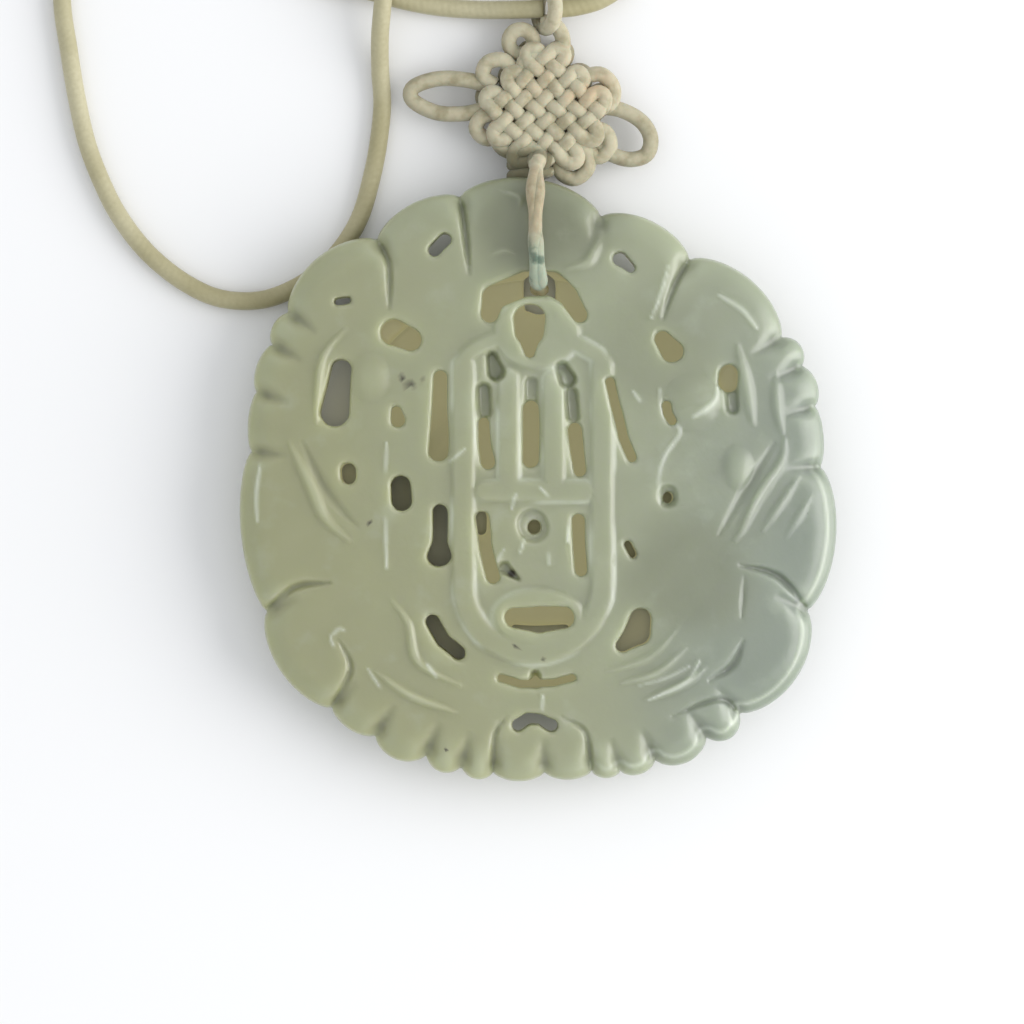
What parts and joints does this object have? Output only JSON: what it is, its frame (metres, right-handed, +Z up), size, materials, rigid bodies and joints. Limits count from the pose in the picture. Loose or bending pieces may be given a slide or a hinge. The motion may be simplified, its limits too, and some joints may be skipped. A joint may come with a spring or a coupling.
{
  "type": "carved jade pendant on a knotted cord",
  "caption": "Flat rounded pendant of carved openwork jade with a lobed rim, tied with a woven cord knot to a long thin neck cord.",
  "frame": {"origin": "on the surface it lies on, under the middle of the box of the pendant and its knot", "axes": "+Z up out of the carved front, +Y from the pendant towards its knot, +X to the right of the front"},
  "size_m": [0.0766, 0.1073, 0.0097],
  "materials": {
    "jade": "polished translucent pale green jade",
    "knot_cord": "cream braided cotton cord",
    "neck_cord": "olive cream satin cord"
  },
  "bodies": {
    "root": {"jade_pendant": "jade", "knot": "knot_cord", "neck_cord_run": "neck_cord", "neck_cord_coil": "neck_cord", "neck_cord_return": "neck_cord"}
  },
  "joints": []
}
